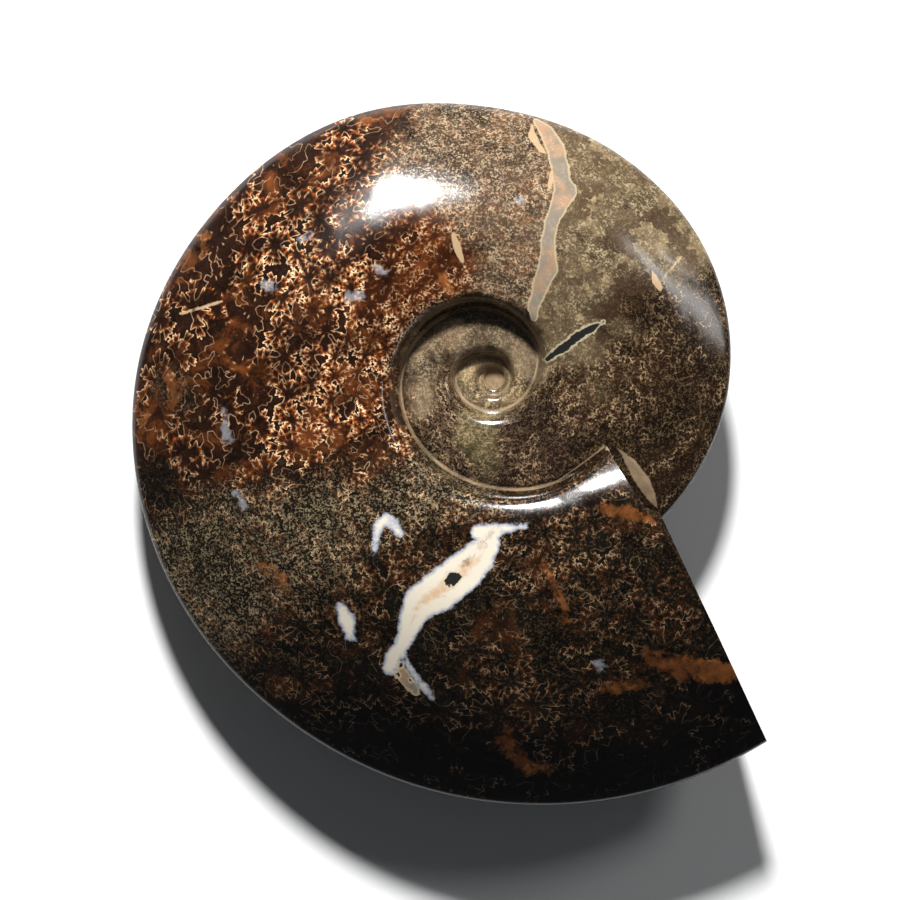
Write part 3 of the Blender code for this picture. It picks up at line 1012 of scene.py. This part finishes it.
# Painted shade: the stone darkens towards the crease of the seam, most within 0.3 mm of it and not at all
# beyond 3 mm
base = darken(base, 0.55 + from_seam.step(0.3, 3.0) * 0.45)
base = blend(raw, base, darken(BARE_SHELL, 0.4 + mottle * 1.1))
filled = calcite.at_least(tan)
bump = Shade.node(
    "ShaderNodeBump", {},
    {"Strength": 0.12, "Distance": 0.0002, "Height": mottle * 0.6 + fine * 0.4}
)
roughness = 0.13 + fleck_cover * 0.10 + filled * 0.06 + cloud_shade * 0.03 + raw * 0.3
for name, value in (("Base Color", base), ("Roughness", roughness), ("Normal", bump)):
    tree.links.new(value.socket, shader.inputs[name])
shader.inputs["IOR"].default_value = 1.55

# The sawn mouth shows the stone that fills the shell, ground flat but not polished. At the
# worn corner by the seam, the shell's own wall is bare.
sawn = bpy.data.materials.new("sawn_fossil")
sawn.use_nodes = True
tree = sawn.node_tree
shader = tree.nodes["Principled BSDF"]
place = Shade(tree.nodes.new("ShaderNodeTexCoord").outputs["Object"])
BLOTCH_SIZE = 0.014
SAWN_GRAIN_SIZE = 0.0012
FILL_DARK = tint(46, 38, 30)
FILL_TAN = tint(92, 78, 58)
FILL_PALE = tint(176, 164, 146)
WORN_SHELL = tint(164, 132, 104)
blotches = grain(BLOTCH_SIZE, 4.0, 0.6, 0.5)
fine = grain(SAWN_GRAIN_SIZE, 2.0, 0.6)
fill = blend(blotches.step(0.35, 0.65), FILL_DARK, FILL_TAN)
fill = blend(blotches.step(0.60, 0.66) * 0.8, fill, FILL_PALE)
fill = darken(fill, 0.7 + fine * 0.6)
patches, _ = attribute("patches")
raw_depth = numbers_of(patches)[2]
fill = blend(raw_depth.step(-1.0, 1.0), fill, darken(WORN_SHELL, 0.6 + fine * 0.8))
tree.links.new(fill.socket, shader.inputs["Base Color"])
shader.inputs["Roughness"].default_value = 0.38
mesh.materials.clear()
mesh.materials.append(stone)
mesh.materials.append(sawn)
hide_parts("ammonite")
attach(ammonite, "root")

# The table: a white sheet, much larger than the view
TABLE_SIZE = 6.0
table_shape = bmesh.new()
bmesh.ops.create_grid(table_shape, x_segments=1, y_segments=1, size=TABLE_SIZE / 2)
table_mesh = bpy.data.meshes.new("white_table")
table_shape.to_mesh(table_mesh)
table_shape.free()
white = bpy.data.materials.new("white_table")
white.use_nodes = True
white.node_tree.nodes["Principled BSDF"].inputs["Base Color"].default_value = (0.82, 0.82, 0.82, 1)
white.node_tree.nodes["Principled BSDF"].inputs["Roughness"].default_value = 0.9
white.node_tree.nodes["Principled BSDF"].inputs["Specular IOR Level"].default_value = 0.1
table_mesh.materials.append(white)
table = bpy.data.objects.new("white_table", table_mesh)
bpy.context.scene.collection.objects.link(table)

# The studio: a softbox high over the far side, a weaker one to the right, and a dim room. Each
# softbox is split into a lamp for the light it gives and others for its reflection, because
# the polish mirrors only its bright middle, with a haze round it.
SOFTBOXES = (
    {"name": "key_softbox", "azimuth": 93.0, "zenith": 48.0, "distance": 1.7, "size": (0.24, 0.24),
     "turn": 0.0, "power": 64.0, "glossy": False},
    {"name": "key_reflection", "azimuth": 106.0, "zenith": 55.0, "distance": 1.7,
     "size": (0.42, 0.46), "turn": 20.0, "power": 80.0, "glossy": True},
    {"name": "key_halo", "azimuth": 106.0, "zenith": 55.0, "distance": 1.7, "size": (1.0, 0.9),
     "turn": 0.0, "power": 3.5, "glossy": True},
    {"name": "side_strip", "azimuth": 26.0, "zenith": 66.0, "distance": 1.6, "size": (1.2, 0.15),
     "turn": 18.0, "power": 3.6, "glossy": True},
    {"name": "side_softbox", "azimuth": 40.0, "zenith": 50.0, "distance": 1.6, "size": (0.4, 0.4),
     "turn": 0.0, "power": 4.5, "glossy": False},
)
AIM = Vector((0.0, 0.0, 0.03))
for softbox in SOFTBOXES:
    lamp = bpy.data.lights.new(softbox["name"], "AREA")
    lamp.shape = "ELLIPSE"
    lamp.size, lamp.size_y = softbox["size"]
    lamp.energy = softbox["power"]
    azimuth, zenith = math.radians(softbox["azimuth"]), math.radians(softbox["zenith"])
    towards = Vector((
        math.sin(zenith) * math.cos(azimuth), math.sin(zenith) * math.sin(azimuth), math.cos(zenith)
    ))
    turned = Matrix.Rotation(math.radians(softbox["turn"]), 4, "Z")
    holder = bpy.data.objects.new(softbox["name"], lamp)
    holder.matrix_world = (
        Matrix.Translation(AIM + towards * softbox["distance"])
        @ towards.to_track_quat("Z", "Y").to_matrix().to_4x4()
        @ turned
    )
    holder.visible_glossy = softbox["glossy"]
    holder.visible_diffuse = not softbox["glossy"]
    bpy.context.scene.collection.objects.link(holder)

room = bpy.data.worlds.new("studio_room")
room.use_nodes = True
room.node_tree.nodes["Background"].inputs["Color"].default_value = (0.9, 0.95, 1.0, 1)
room.node_tree.nodes["Background"].inputs["Strength"].default_value = 0.06
bpy.context.scene.world = room
bpy.context.scene.view_settings.view_transform = "Standard"

# The camera, straight above and far enough away to show the upper side flatly
SENSOR = 36.0
lens = bpy.data.cameras.new("camera_above")
lens.sensor_width = SENSOR
lens.lens = SENSOR * (VIEW_HEIGHT - PLAN_HEIGHT) / (2 * PLAN_MIDDLE * PLAN_STEP)
camera = bpy.data.objects.new("camera_above", lens)
camera.location = (*VIEW_PLACE, VIEW_HEIGHT)
bpy.context.scene.collection.objects.link(camera)
bpy.context.scene.camera = camera
